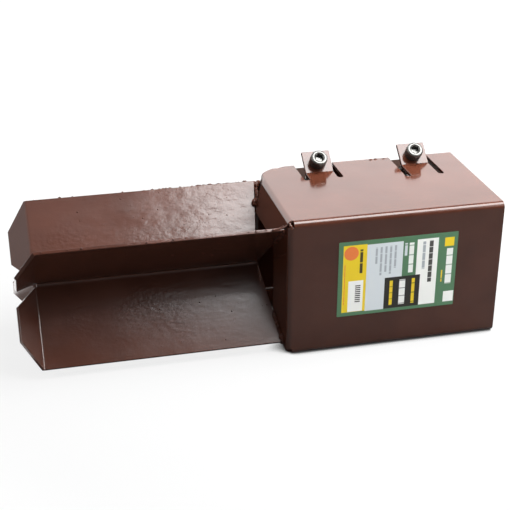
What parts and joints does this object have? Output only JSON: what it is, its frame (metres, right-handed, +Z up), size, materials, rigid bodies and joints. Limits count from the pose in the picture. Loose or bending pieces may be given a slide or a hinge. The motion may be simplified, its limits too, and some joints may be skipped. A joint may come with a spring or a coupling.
{
  "type": "timber post base",
  "caption": "Bolt-clamp post base for setting in concrete: a folded steel box with an open seam drawn tight by cap screws, on a cross-shaped tail.",
  "frame": {"origin": "middle of the flat outer face of the box wall that it lies on", "axes": "+X along the post towards the open mouth, +Z up as it lies, open seam at the top rear corner (+Y +Z)"},
  "size_m": [0.3524, 0.1224, 0.1214],
  "materials": {
    "painted_steel": "thick gloss brown dip paint over folded steel",
    "zinc_steel": "dull zinc plated steel",
    "label_print": "printed gloss label"
  },
  "bodies": {
    "root": {"socket_shell": "painted_steel", "tail_angle_front": "painted_steel", "tail_angle_rear": "painted_steel", "clamp_screw_1": "zinc_steel", "clamp_screw_2": "zinc_steel", "clamp_nut_1": "zinc_steel", "clamp_nut_2": "zinc_steel", "label_sheet": "label_print"}
  },
  "joints": []
}
